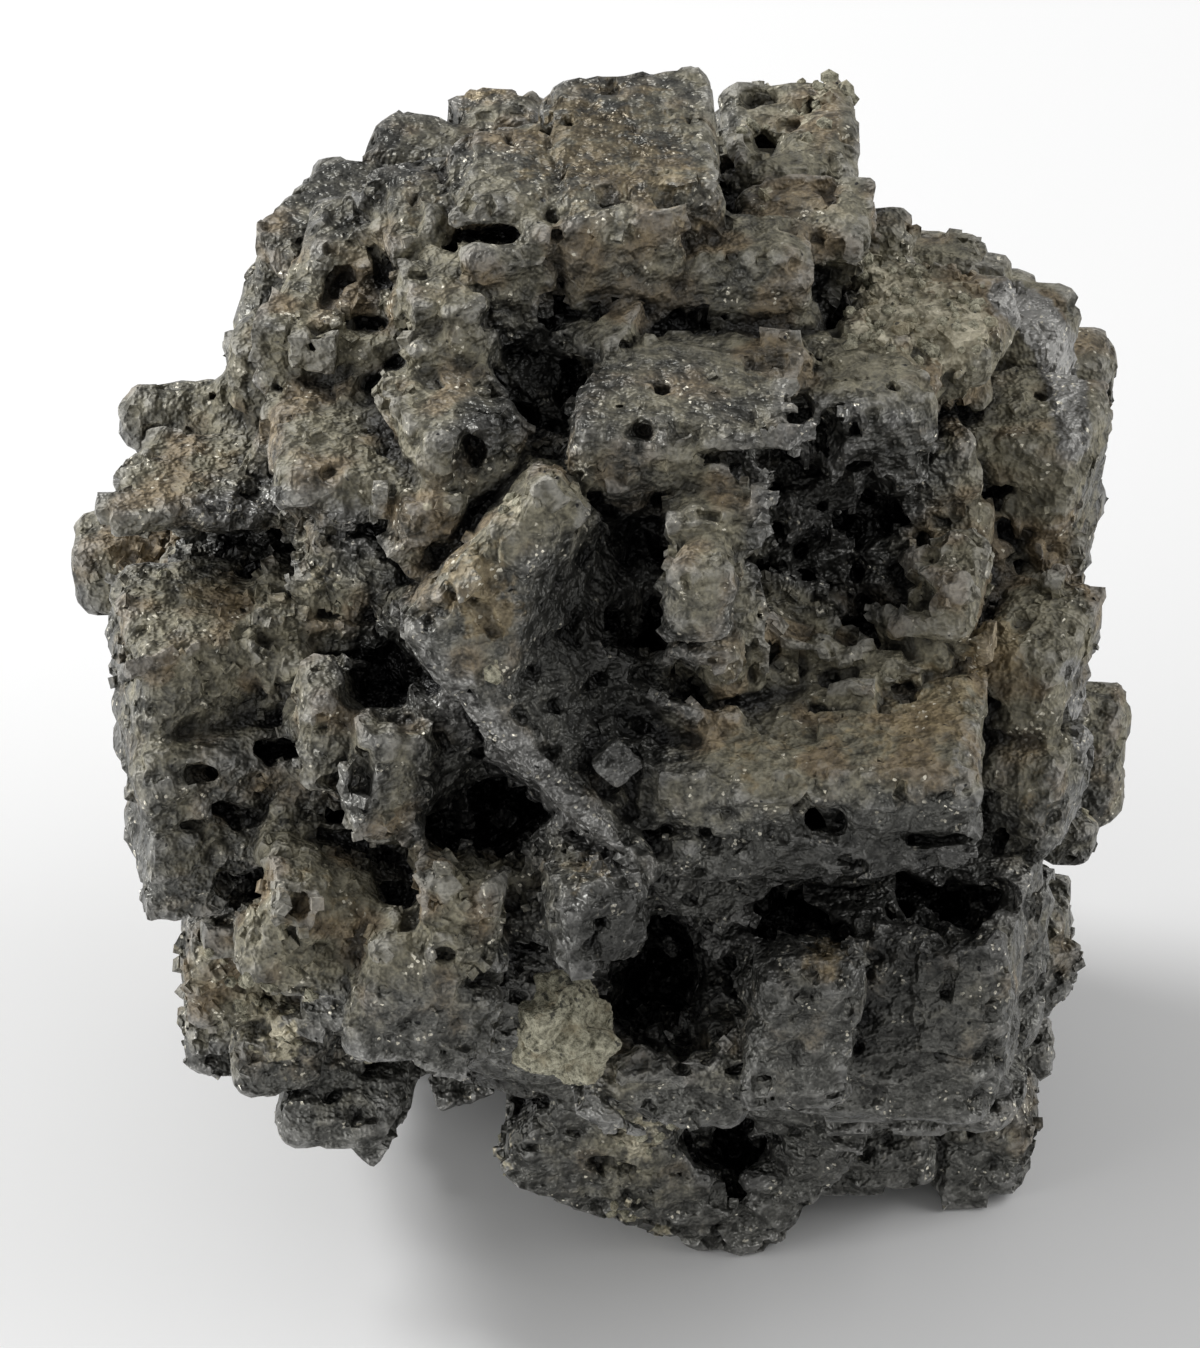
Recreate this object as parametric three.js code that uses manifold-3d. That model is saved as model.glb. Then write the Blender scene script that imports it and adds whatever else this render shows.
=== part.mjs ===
// Native arsenic: a ball of intergrown pseudo-cubic crystals, about 24 mm across, with scraps of the
// pale rock that it grew in. Millimetres, +Z up. The specimen stands on z = 0 on the worn tips of three
// crystals. Its showing side looks forward, to -Y, and up.
import * as THREE from "three";
import { ConvexGeometry } from "three/addons/geometries/ConvexGeometry.js";
import { mergeVertices } from "three/addons/utils/BufferGeometryUtils.js";
import Module from "manifold-3d";

const wasm = await Module();
wasm.setup();

// ---- Driving dimensions ----------------------------------------------------------------------------
const BALL_ACROSS = 11.3; // half width of the ball, measured to the crystals' mean surface
const BALL_UP = 12.9; // half height, along the showing side
const BALL_OUT = 12; // half depth, square to the showing side
const SHOWING_TILT = 35; // degrees that the showing side looks up from level
const CENTRE_HEIGHT = 12; // the ball's centre above the surface that it stands on
const RHOMB_ANGLE = 86; // degrees between the edges at a crystal's blunt corner: nearly a cube
const EDGE_WEAR = 0.3; // chamfer of a worn crystal edge
const ROOT_RADIUS = 0.45; // where a crystal's root lies, from the ball's centre to the crystal
const GAP = 0.3; // clearance between a grain of rock and the arsenic around it

const degrees = THREE.MathUtils.degToRad;

// ---- Places on the ball ----------------------------------------------------------------------------
// The showing side has its own frame: across (to the right), up (along the side) and out (towards whoever
// looks at it). Its axes in the part's frame:
const tilt = degrees(SHOWING_TILT);
const ACROSS = new THREE.Vector3(1, 0, 0);
const UP = new THREE.Vector3(0, Math.sin(tilt), Math.cos(tilt));
const OUT = new THREE.Vector3(0, -Math.cos(tilt), Math.sin(tilt));

function spot(across, up, out) {
  return new THREE.Vector3(0, 0, CENTRE_HEIGHT)
    .addScaledVector(ACROSS, across)
    .addScaledVector(UP, up)
    .addScaledVector(OUT, out);
}

// How far out the ball's mean surface lies; past its rim it is 0.
function surfaceOut(across, up) {
  return BALL_OUT * Math.sqrt(Math.max(0, 1 - (across / BALL_ACROSS) ** 2 - (up / BALL_UP) ** 2));
}

// ---- One crystal -----------------------------------------------------------------------------------
// The corners of a rhombohedron with chamfered edges, [wide, tall, deep], hung from its top front edge:
// x runs along that edge, y goes back into the ball and z up. grip is the point of the edge that lies at
// the origin: -1 its left end, 0 its middle, 1 its right end.
const skew = Math.cos(degrees(RHOMB_ANGLE));
const shear = new THREE.Matrix4().set(1, skew, skew, 0, 0, 1, skew, 0, 0, 0, 1, 0, 0, 0, 0, 1);

function crystalCorners([wide, tall, deep], grip, wear) {
  const half = [wide / 2, deep / 2, tall / 2];
  const middle = new THREE.Vector3((-grip * wide) / 2, deep / 2, -tall / 2);
  const corners = [];
  for (const sx of [-1, 1])
    for (const sy of [-1, 1])
      for (const sz of [-1, 1])
        for (let face = 0; face < (wear ? 3 : 1); face++) {
          const corner = [sx, sy, sz].map((side, axis) => side * (half[axis] - (axis === face ? 0 : wear)));
          corners.push(new THREE.Vector3(...corner).add(middle).applyMatrix4(shear));
        }
  return corners;
}

// A crystal narrows behind to a root inside the ball, which joins it to the others.
function rooted(corners) {
  const middle = new THREE.Vector3();
  for (const corner of corners) middle.addScaledVector(corner, 1 / corners.length);
  const root = spot(0, 0, 0).lerp(middle, ROOT_RADIUS);
  return solid(new ConvexGeometry([...corners, root]));
}

// turn: degrees to the right about the plumb line. lean: the top tips towards the viewer.
// roll: clockwise, as the viewer sees it.
function pose({ turn = 0, lean = 0, roll = 0 }) {
  return new THREE.Matrix4()
    .makeRotationZ(degrees(turn))
    .multiply(new THREE.Matrix4().makeRotationX(degrees(lean)))
    .multiply(new THREE.Matrix4().makeRotationY(degrees(roll)));
}

// ---- Solids ----------------------------------------------------------------------------------------
function solid(geometry) {
  const plain = geometry.clone();
  plain.deleteAttribute("normal");
  plain.deleteAttribute("uv");
  const merged = mergeVertices(plain, 1e-5);
  return new wasm.Manifold(
    new wasm.Mesh({
      numProp: 3,
      vertProperties: merged.attributes.position.array,
      triVerts: new Uint32Array(merged.index.array),
    }),
  );
}

function meshOf(made, name, material) {
  const { vertProperties, triVerts } = made.getMesh();
  const geometry = new THREE.BufferGeometry();
  geometry.setAttribute("position", new THREE.BufferAttribute(vertProperties, 3));
  geometry.setIndex(new THREE.BufferAttribute(triVerts, 1));
  const mesh = new THREE.Mesh(geometry, material);
  mesh.name = name;
  return mesh;
}

// ---- The showing side's crystals -------------------------------------------------------------------
// Each row: where the top front edge is gripped [across, up], how far that stands out from the mean
// surface, the size [wide, tall, deep], and how the crystal is turned.
const SHOWING = [
  // Crown
  { at: [0.9, 10.3], rise: 0.9, size: [3.8, 3.2, 5.2], turn: 8, roll: -2 },
  { at: [-1.8, 10.1], rise: 0.7, size: [2.4, 2.4, 3.4], turn: 12, roll: -4 },
  { at: [-3.5, 9.9], rise: 0.2, size: [2.2, 1.4, 2.6], turn: 22 },
  { at: [4.3, 10.9], rise: -0.5, size: [3.1, 2.6, 4.2], turn: 6 },
  { at: [4.4, 9.4], rise: 0.1, size: [3, 1.6, 2.6], turn: 0 },
  { at: [-2.3, 12.2], rise: -2.2, size: [1.8, 2, 1.6], turn: -5 },
  { at: [-4.2, 11.4], rise: -1.6, size: [2.3, 2.4, 2], turn: -10 },
  { at: [-6.4, 9.3], rise: -0.6, size: [3, 3, 3.8], turn: -20 },
  { at: [-7.5, 8.4], rise: -1.2, size: [1.3, 1.8, 1.6], turn: -20 },
  { at: [-7.6, 7.1], rise: -1, size: [1.4, 2, 1.8], turn: -15 },
  { at: [6.4, 9.6], rise: -2.4, size: [1.2, 1.8, 1.4], turn: 0 },
  { at: [7.7, 8.8], rise: -2.6, size: [2, 2.4, 2.1], turn: 0 },
  { at: [8.9, 8.2], rise: -2.8, size: [1.4, 2, 1.8], turn: -10 },
  { at: [10.6, 6.9], rise: -2, size: [1.8, 2.4, 1.8], turn: -5 },
  // Upper slope
  { at: [-6, 7.2], rise: 0, size: [3.2, 1.8, 3.6], turn: -10 },
  { at: [-3.2, 7.6], rise: 0.3, size: [2, 1.6, 2.8], turn: 15 },
  { at: [-5.2, 9.1], rise: -0.2, size: [2.6, 1.6, 2.6], turn: 0 },
  { at: [-1.8, 9.2], rise: 0.6, size: [2.2, 2.8, 2.2], turn: 20 },
  { at: [0.4, 9.7], rise: 0.7, size: [2.8, 3, 2], turn: 5, roll: -8 },
  { at: [3.2, 8.8], rise: -0.1, size: [2.8, 2, 2.2], turn: 0 },
  { at: [6.9, 7.4], rise: 0.2, size: [3.4, 1.6, 2.8], turn: -15 },
  { at: [-5, 4], rise: 0.2, size: [4, 1.3, 5.2], turn: 8 },
  { at: [-2.6, 5], rise: 0.1, size: [2.6, 1.8, 3.6], turn: 25 },
  { at: [1.9, 4.9], rise: 0.2, size: [5.2, 1.6, 4.2], turn: 2 },
  // Right shoulder
  { at: [6.1, 5.7], rise: 0.5, size: [3.3, 3, 3.4], turn: 30 },
  { at: [8.9, 7.4], rise: 0.5, size: [2.4, 3, 2.4], turn: -15 },
  { at: [9.1, 4.9], rise: 0.1, size: [3, 4.8, 3.2], turn: -14 },
  { at: [9.2, 0.3], rise: 0.1, size: [2, 3.2, 3], turn: -15 },
  // Left wing
  { at: [-9.4, 5.8], rise: -0.6, size: [2.5, 1.4, 1.2], turn: 5 },
  { at: [-8.5, 3.3], rise: 0.6, size: [4.6, 0.6, 3.4], turn: -7, wear: 0.2 },
  { at: [-11.2, 2.6], rise: 0.2, size: [1.3, 2, 2], turn: 10, roll: -10 },
  { at: [-8.1, 0.4], rise: 0.4, size: [3.9, 2.8, 3.9], turn: 17 },
  { at: [-8.1, -1.9], rise: 0.3, size: [3.8, 2, 3.8], turn: 17 },
  { at: [-8.1, -3.7], rise: 0.1, size: [3.4, 2.3, 3.6], turn: 17 },
  // Middle, round the hollow
  { at: [0.1, -5], rise: 0.6, size: [2.1, 2.1, 2.2], turn: 20, roll: -8 },
  { at: [-3.5, 3.5], rise: 0.1, size: [1.6, 1.8, 2], turn: 20 },
  { at: [2.7, 3.2], rise: 0.2, size: [2.5, 4.6, 3], turn: 5 },
  { at: [2.2, 2], rise: 0.8, size: [1.4, 1.9, 2], turn: 0 },
  { at: [5.8, 3.1], rise: -1.2, size: [1.2, 1.2, 2], turn: 0 },
  { at: [4.5, 3.3], rise: -1.6, size: [1, 1.2, 1.4], turn: 30 },
  { at: [7.2, 1.7], rise: 0.1, size: [2, 1.8, 2.6], turn: -5 },
  // Shelf
  { at: [4.8, -2.5], rise: 0.6, size: [7, 2.7, 5], turn: 2 },
  { at: [9.2, -2.2], rise: 0, size: [1.9, 2.6, 2.4], turn: -20 },
  // Lower left
  { at: [-5.7, -0.6], rise: 0.3, size: [1.3, 2.6, 2], turn: 15 },
  { at: [-4.3, -1.2], rise: 0.2, size: [1.7, 3, 2.4], turn: 20 },
  { at: [-5.4, -5.2], rise: 0.2, size: [3.2, 2.6, 4], turn: 12, roll: 22 },
  { at: [-3.4, -6.2], rise: 0.3, size: [3.2, 3.2, 3.5], turn: 5, roll: 10 },
  { at: [-3, -4.6], rise: 0.2, size: [1.9, 2.2, 2.2], turn: 0 },
  { at: [-8.1, -6.2], rise: -1.2, size: [1.9, 2.4, 2.4], turn: 8 },
  { at: [-8.3, -8], rise: -1.8, size: [1.8, 1.6, 2], turn: 5 },
  { at: [-7, -8.3], rise: -1.4, size: [2, 1.6, 2], turn: 10 },
  { at: [-5.8, -9.7], rise: -1.8, size: [2.6, 1.5, 2.2], turn: 0 },
  // Lower right
  { at: [6.5, -5.9], rise: 0.1, size: [5, 5, 4], turn: -6 },
  { at: [4.7, -6.6], rise: 0.6, size: [2.4, 3.8, 2], turn: 8, roll: 3 },
  { at: [8.9, -5.4], rise: -0.2, size: [1.2, 4.4, 1.8], turn: -25 },
  { at: [7.2, -9.8], rise: 0.1, size: [4.2, 1, 3.4], turn: -6, roll: -4 },
  { at: [1.7, -8.3], rise: -0.9, size: [3.8, 2.4, 3], turn: 5, roll: 4 },
  { at: [6.8, -10.1], grip: 1, rise: -1, size: [6.8, 6.1, 5], turn: 0, lean: 10, roll: 30 },
  // Far rim, seen past the shoulders
  { at: [11.1, -1.1], rise: -5, size: [1.7, 3.2, 1.6], turn: -5 },
  { at: [10.7, -3.7], rise: -4.4, size: [1, 1.2, 1.2], turn: 0 },
  { at: [9.8, -5.9], rise: -3.4, size: [1.3, 2.6, 2.4], turn: -5 },
  { at: [6.5, -10.8], rise: -1.6, size: [2.3, 1.5, 2], turn: 0 },
  { at: [8.7, -10.3], rise: -2, size: [2.2, 2.3, 2.4], turn: 0 },
];

// Hollows left between the crystals: where [across, up], and the size [wide, high, deep].
const HOLLOWS = [
  { at: [0.9, 1.7], size: [3.4, 4.4, 4] },
  { at: [4.8, 2.2], size: [4.2, 4.6, 3.6] },
  { at: [7.1, 2.9], size: [2.2, 2.4, 2.6] },
  { at: [-4.6, -0.4], size: [2.6, 2.6, 3] },
  { at: [-2.6, -3.3], size: [3.4, 3.4, 3.6] },
  { at: [1.6, -6.6], size: [3.4, 3.6, 3.6] },
  { at: [6, -5.3], size: [6.4, 2.2, 3.6] },
  { at: [-2.4, -7], size: [3, 1.8, 2.6] },
  { at: [-8.2, 2.6], size: [4.4, 1.8, 2.4] },
  { at: [-3, 8.6], size: [3.4, 1.6, 2] },
  { at: [-1.2, 5.8], size: [3, 2, 2] },
  { at: [5, 8.6], size: [2, 1.6, 2] },
  { at: [5, -1], size: [7, 2.8, 3] },
];

// Pits in the crystals' own faces.
const PITS = [
  { at: [3.3, -11.1], size: [2, 1.8, 3] },
  { at: [-3.6, 9], size: [1, 0.7, 1.4] },
  { at: [-2.3, 9.4], size: [1.5, 0.6, 1.4] },
  { at: [-5.1, 7.5], size: [1.1, 0.6, 1.2] },
  { at: [-3.9, 7.4], size: [1.1, 0.6, 1.2] },
  { at: [-7.5, -4.9], size: [1.7, 1.2, 1.6] },
  { at: [-7.2, -1.8], size: [1.2, 0.6, 1.2] },
  { at: [3.7, 11.6], size: [0.9, 0.9, 2] },
  { at: [4.9, -3.3], size: [1.3, 0.7, 1.6] },
  { at: [7.2, -3.9], size: [1.5, 0.5, 1.4] },
  { at: [-4.1, -5.2], size: [0.8, 0.8, 1.4] },
];

function crystal({ at: [across, up], rise, size, grip = 0, wear = EDGE_WEAR, ...turned }) {
  const place = spot(across, up, surfaceOut(across, up) + rise);
  const matrix = pose(turned).setPosition(place);
  return rooted(crystalCorners(size, grip, wear).map((corner) => corner.applyMatrix4(matrix)));
}

// The crystal in the middle, turned on its corner, grew faster along its edges than on its face: the face is
// a hollow that falls away to the right. The hollow's outline in order, and how far its floor lies in front
// of the ball's centre at each corner.
const MIDDLE = { at: [-4.5, 0.6], grip: -1, rise: 1.1, size: [4.9, 8, 3.6], turn: 8, lean: -24, roll: -43 };
const HOPPER = [
  { at: [-0.8, 3.5], floor: 12 },
  { at: [-1.8, 0.6], floor: 11.8 },
  { at: [-1.9, -0.9], floor: 11.5 },
  { at: [0.8, -4], floor: 10.9 },
  { at: [2, -4.5], floor: 9.8 },
  { at: [5.5, -1], floor: 6.5 },
  { at: [1.6, 4.6], floor: 8.6 },
];
const HOPPER_TOP = 16; // past the crystal's front

function hopperCrystal() {
  const corners = HOPPER.flatMap(({ at, floor }) => [spot(...at, floor), spot(...at, HOPPER_TOP)]);
  return crystal(MIDDLE).subtract(solid(new ConvexGeometry(corners)));
}

function hollow({ at: [across, up], size: [wide, high, deep] }) {
  const place = spot(across, up, surfaceOut(across, up));
  const matrix = new THREE.Matrix4().makeBasis(ACROSS, UP, OUT).setPosition(place);
  const geometry = new THREE.IcosahedronGeometry(1, 0).scale(wide / 2, high / 2, deep);
  return solid(geometry.applyMatrix4(matrix));
}

// ---- The crystals between and behind them ----------------------------------------------------------
// A seeded generator, so that the same ball grows every time.
let seed = 33;
function random(low, high) {
  seed = (Math.imul(seed, 1664525) + 1013904223) >>> 0;
  return low + ((high - low) * seed) / 2 ** 32;
}

const FILLERS = 100;
const FILLER_SIZE = [3.4, 5.6]; // edge of a filling crystal, least and most
const FILLER_SINK = 1.2; // how much deeper the ones on the showing side lie
const FOOT_CLEARANCE = 0.5; // least height of a crystal that isn't a foot

// Directions spread evenly over the ball, by the golden angle.
function direction(index, count) {
  const height = 1 - (2 * index + 1) / count;
  const round = index * Math.PI * (3 - Math.sqrt(5));
  const level = Math.sqrt(1 - height * height);
  return [level * Math.cos(round), level * Math.sin(round), height];
}

function filler(index) {
  const [across, up, out] = direction(index, FILLERS);
  const edge = random(...FILLER_SIZE);
  const shows = out > -0.35;
  const inset = 1 - (edge * 0.6 + (shows ? FILLER_SINK : 0)) / BALL_ACROSS;
  const place = spot(across * BALL_ACROSS * inset, up * BALL_UP * inset, out * BALL_OUT * inset);
  const matrix = pose({ turn: random(-25, 25), lean: random(-12, 12), roll: random(-12, 12) });
  matrix.setPosition(place).multiply(new THREE.Matrix4().makeTranslation(0, -edge / 2, edge / 2));
  const corners = crystalCorners([edge, edge * random(0.8, 1.1), edge], 0, shows ? 0 : EDGE_WEAR);
  for (const corner of corners) corner.applyMatrix4(matrix);
  const low = Math.min(...corners.map((corner) => corner.z));
  const lift = Math.max(0, FOOT_CLEARANCE + random(0, 0.8) - low);
  for (const corner of corners) corner.z += lift;
  return rooted(corners);
}

// The hind crystals that it stands on: the corner that meets the surface [x, y], and how they turn.
// The third foot is the lowest crystal of the showing side.
const FEET = [
  { tip: [-6.4, 2.8], turn: -35 },
  { tip: [5.2, 5], turn: 15 },
];
const FOOT_SIZE = [3.6, 5, 3.6];
const FOOT_LEAN = 20; // degrees that a hind foot's crystal leans and rolls off the plumb line
const FOOT_WEAR = 0.35; // how much of the corner is worn off flat

function foot({ tip: [x, y], turn }) {
  const matrix = pose({ turn, lean: FOOT_LEAN, roll: FOOT_LEAN });
  const corners = crystalCorners(FOOT_SIZE, 1, EDGE_WEAR).map((corner) => corner.applyMatrix4(matrix));
  const lowest = corners.reduce((low, corner) => (corner.z < low.z ? corner : low)).clone();
  for (const corner of corners) corner.sub(lowest).add(new THREE.Vector3(x, y, -FOOT_WEAR));
  return rooted(corners);
}

// ---- The arsenic -----------------------------------------------------------------------------------
function core() {
  const geometry = new THREE.IcosahedronGeometry(1, 1);
  geometry.scale(BALL_ACROSS - 2.6, BALL_UP - 2.6, BALL_OUT - 2.6);
  const frame = new THREE.Matrix4().makeBasis(ACROSS, UP, OUT);
  return solid(geometry.applyMatrix4(frame).translate(0, 0, CENTRE_HEIGHT));
}

const fillers = [];
for (let index = 0; index < FILLERS; index++) {
  const [, up, out] = direction(index, FILLERS);
  const bared = up < -0.65 && out > -0.5; // the front foot's crystal stands there
  if (!bared) fillers.push(filler(index));
}
const { union } = wasm.Manifold;
let ball = union([core(), ...fillers, ...FEET.map(foot)]).subtract(union(HOLLOWS.map(hollow)));
ball = union([ball, ...SHOWING.map(crystal), hopperCrystal()]).subtract(union(PITS.map(hollow)));
ball = ball.trimByPlane([0, 0, 1], 0).simplify(0.05);
// One shell: a void sealed among the crystals is filled, and a cut-off splinter falls away.
ball = ball.decompose().reduce((most, shell) => (shell.volume() > most.volume() ? shell : most));

// ---- The pale grain --------------------------------------------------------------------------------
// A knobby scrap of the cream-coloured rock, wedged in the crevice under the middle crystal.
const GRAIN_AT = [-0.75, -7.9];
const GRAIN_SINK = 1.1; // its middle below the ball's mean surface
const GRAIN_SIZE = [2.4, 2.6, 2.6]; // across, up, out
const GRAIN_KNOBS = 0.13; // height of its knobs, as a part of its radius

function grain(swell) {
  const place = spot(...GRAIN_AT, surfaceOut(...GRAIN_AT) - GRAIN_SINK);
  const frame = new THREE.Matrix4().makeBasis(ACROSS, UP, OUT).setPosition(place);
  const geometry = new THREE.IcosahedronGeometry(1, 2);
  const point = new THREE.Vector3();
  for (let i = 0; i < geometry.attributes.position.count; i++) {
    point.fromBufferAttribute(geometry.attributes.position, i).normalize();
    const knobs = Math.sin(5 * point.x + 1) * Math.sin(4 * point.y) + Math.sin(6 * point.z + 2) / 2;
    const [x, y, z] = point.toArray();
    GRAIN_SIZE.forEach((size, axis) => {
      point.setComponent(axis, [x, y, z][axis] * ((size / 2) * (1 + GRAIN_KNOBS * knobs) + swell));
    });
    geometry.attributes.position.setXYZ(i, point.x, point.y, point.z);
  }
  return solid(geometry.applyMatrix4(frame));
}

ball = ball.subtract(grain(GAP));

// ---- The whole -------------------------------------------------------------------------------------
const root = new THREE.Group();
const arsenic = new THREE.MeshStandardMaterial({ color: 0x55534e, roughness: 0.6, metalness: 0.4 });
root.add(meshOf(ball, "arsenic_crystals", arsenic));
const paleRock = new THREE.MeshStandardMaterial({ color: 0xb4ae92, roughness: 0.85, metalness: 0 });
root.add(meshOf(grain(0), "pale_rock_grain", paleRock));

// The origin is where the middle of the whole stands on the surface.
const bounds = new THREE.Box3().setFromObject(root, true);
const middle = bounds.getCenter(new THREE.Vector3());
root.position.set(-middle.x, -middle.y, -bounds.min.z);

export default root;
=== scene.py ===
import functools
import itertools
import math

import bmesh
import bpy
import mathutils
import numpy as np
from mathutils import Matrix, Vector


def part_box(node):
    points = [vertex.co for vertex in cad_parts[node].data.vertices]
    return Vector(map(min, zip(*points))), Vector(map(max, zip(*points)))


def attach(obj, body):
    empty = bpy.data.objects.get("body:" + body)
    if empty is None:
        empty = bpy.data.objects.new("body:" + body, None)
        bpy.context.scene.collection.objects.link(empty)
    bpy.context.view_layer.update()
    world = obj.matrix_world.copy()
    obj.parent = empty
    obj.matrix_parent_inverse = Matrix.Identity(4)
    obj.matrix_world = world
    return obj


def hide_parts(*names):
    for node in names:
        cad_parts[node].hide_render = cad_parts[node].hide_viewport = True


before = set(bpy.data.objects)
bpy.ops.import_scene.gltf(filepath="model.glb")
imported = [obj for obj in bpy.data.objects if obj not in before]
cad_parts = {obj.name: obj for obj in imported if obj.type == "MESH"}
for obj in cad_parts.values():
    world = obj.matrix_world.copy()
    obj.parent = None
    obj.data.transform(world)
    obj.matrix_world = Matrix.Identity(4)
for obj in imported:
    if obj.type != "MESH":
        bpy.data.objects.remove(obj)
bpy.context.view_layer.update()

import openvdb
from mathutils import Vector
from mathutils.bvhtree import BVHTree


# ---- The ball of arsenic crystals ------------------------------------------------------------------
# One growth of native arsenic: blocky crystals locked together into a ball, dull dark grey with brown
# dust on top, partly painted top light, and hollows between painted black as shade. The flat forms come
# from the part; growth steps, chips, pits and rubble are carved into them on a grid of distances from the
# surface, below 0 inside the solid.

STEP = 0.1  # mm between the points of the carving grid
MARGIN = 6  # grid points round the ball
CENTRE = np.array((-0.08, 0.37, 12.0))  # mm, the centre that the crystals grew from
TILT = math.radians(35)  # how far the showing side looks up
ACROSS = np.array((1.0, 0.0, 0.0))
UP = np.array((0.0, math.sin(TILT), math.cos(TILT)))
OUT = np.array((0.0, -math.cos(TILT), math.sin(TILT)))
# The grains lie a little askew to the grid.
GRAIN_AXES = np.array(((0.96, 0.26, 0.1), (-0.27, 0.96, 0.08), (-0.07, -0.1, 0.99)), np.float32)

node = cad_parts["arsenic_crystals"]
low_corner, high_corner = (np.array(corner) * 1000 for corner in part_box("arsenic_crystals"))
GRID_LOW = np.floor(low_corner / STEP).astype(int) - MARGIN
GRID_SHAPE = tuple(np.ceil(high_corner / STEP).astype(int) + MARGIN - GRID_LOW)


JOIN_WITHIN = 0.0005  # mm


def merged_copy(cad_object):
    """A node's mesh in millimetres, with its loose triangles joined at their corners."""
    made = bmesh.new()
    made.from_mesh(cad_object.data)
    bmesh.ops.scale(made, vec=(1000, 1000, 1000), verts=made.verts)
    bmesh.ops.remove_doubles(made, verts=made.verts, dist=JOIN_WITHIN)
    return made


def triangles_of(made):
    """The corners and the triangles of a mesh, as arrays."""
    bmesh.ops.triangulate(made, faces=made.faces)
    made.verts.index_update()
    points = np.array([corner.co for corner in made.verts], np.float32)
    triangles = np.array([[corner.index for corner in face.verts] for face in made.faces], np.uint32)
    return points, triangles


def distances(points, faces, low, shape, step, reach):
    """Distances from a closed surface on a grid: below 0 inside, above 0 outside, in mm."""
    sides = {"triangles" if faces.shape[1] == 3 else "quads": faces}
    place = openvdb.createLinearTransform(voxelSize=step)
    grid = openvdb.FloatGrid.createLevelSetFromPolygons(
        points, transform=place, halfWidth=reach / step, **sides
    )
    values = np.empty(shape, np.float32)
    grid.copyToArray(values, ijk=tuple(int(index) for index in low))
    return values


def surface_of(values, low, step, level=0.0):
    """The surface where the distances have one value, as points in mm and four-sided faces."""
    grid = openvdb.FloatGrid(float(values.max()))
    grid.copyFromArray(values, ijk=tuple(int(index) for index in low))
    grid.transform = openvdb.createLinearTransform(voxelSize=step)
    return grid.convertToQuads(isovalue=level)


def along(axis, numbers):
    """Numbers laid out along one axis of a grid."""
    return numbers.reshape([-1 if other == axis else 1 for other in range(3)]).astype(np.float32)


def resampled(values, low, step):
    """A coarse grid's values at the points of the carving grid."""
    for axis in range(3):
        place = (GRID_LOW[axis] + np.arange(GRID_SHAPE[axis])) * STEP / step - low[axis]
        cell = np.clip(np.floor(place).astype(int), 0, values.shape[axis] - 2)
        share = along(axis, place - cell)
        near, far = np.take(values, cell, axis), np.take(values, cell + 1, axis)
        values = near + (far - near) * share
    return values


def noise(*sizes, seed):
    """Smooth noise over the carving grid, its lumps of one size in mm, or of three along x, y, z."""
    sizes = sizes * 3 if len(sizes) == 1 else sizes
    cells = [int(count * STEP / size) + 5 for count, size in zip(GRID_SHAPE, sizes)]
    values = np.random.default_rng(seed).standard_normal(cells).astype(np.float32)
    for axis, size in enumerate(sizes):
        place = np.arange(GRID_SHAPE[axis]) * STEP / size
        cell = np.floor(place).astype(int)
        t = place - cell
        weights = (
            (1 - t) ** 3 / 6,
            (3 * t**3 - 6 * t**2 + 4) / 6,
            (-3 * t**3 + 3 * t**2 + 3 * t + 1) / 6,
            t**3 / 6,
        )
        values = sum(
            np.take(values, cell + index, axis) * along(axis, weight)
            for index, weight in enumerate(weights)
        )
    return values / values.std()


def there_and_back(points, triangles, radius, step):
    """Distances from the same surface once it has been moved outwards by a radius and back, which fills
    all gaps narrower than twice that; below 0, inwards and back, which rounds its edges."""
    margin = int(abs(radius) / step) + 4
    low = np.floor(low_corner / step).astype(int) - margin
    shape = tuple(np.ceil(high_corner / step).astype(int) + margin - low)
    reach = abs(radius) + 3 * step
    grown = distances(points, triangles, low, shape, step, reach)
    points, quads = surface_of(grown, low, step, radius)
    return resampled(distances(points, quads, low, shape, step, reach) + radius, low, step)


SKIN_BAND = 0.25  # mm: how far from the surface the grains reach


def grained(values, size, squash, height, step, seed):
    """Roughens the solid's skin with close-packed grains of one size, in mm, flattened by squash: each
    one domed by height, and set a little higher or lower than the next by step."""
    index = np.flatnonzero(np.abs(values) < SKIN_BAND)
    place = np.stack(np.unravel_index(index, GRID_SHAPE), -1).astype(np.float32) * STEP
    place = place @ GRAIN_AXES.T / (size * np.array((1, 1, squash), np.float32))
    place += 1 - place.min(0)
    cell = np.floor(place).astype(np.int32)
    place -= cell
    counts = cell.max(0) + 2
    seeds = np.random.default_rng(seed).random((counts.prod(), 3), np.float32)
    number = (cell[:, 0] * counts[1] + cell[:, 1]) * counts[2] + cell[:, 2]
    nearest = np.full(len(place), 9, np.float32)
    owner = np.zeros(len(place), np.int32)
    for shift in itertools.product((-1, 0, 1), repeat=3):
        beside = number + (shift[0] * counts[1] + shift[1]) * counts[2] + shift[2]
        gap = np.abs(place - np.array(shift, np.float32) - seeds[beside])
        gap = 0.7 * gap.max(1) + 0.3 * np.sqrt((gap**2).sum(1))  # more boxy than round
        closer = gap < nearest
        nearest[closer] = gap[closer]
        owner[closer] = beside[closer]
    lift = (owner * 7919 % 101) / 50 - 1  # each grain's own, from -1 to 1
    values.reshape(-1)[index] += height * (nearest - nearest.mean()) + step * lift


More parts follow.
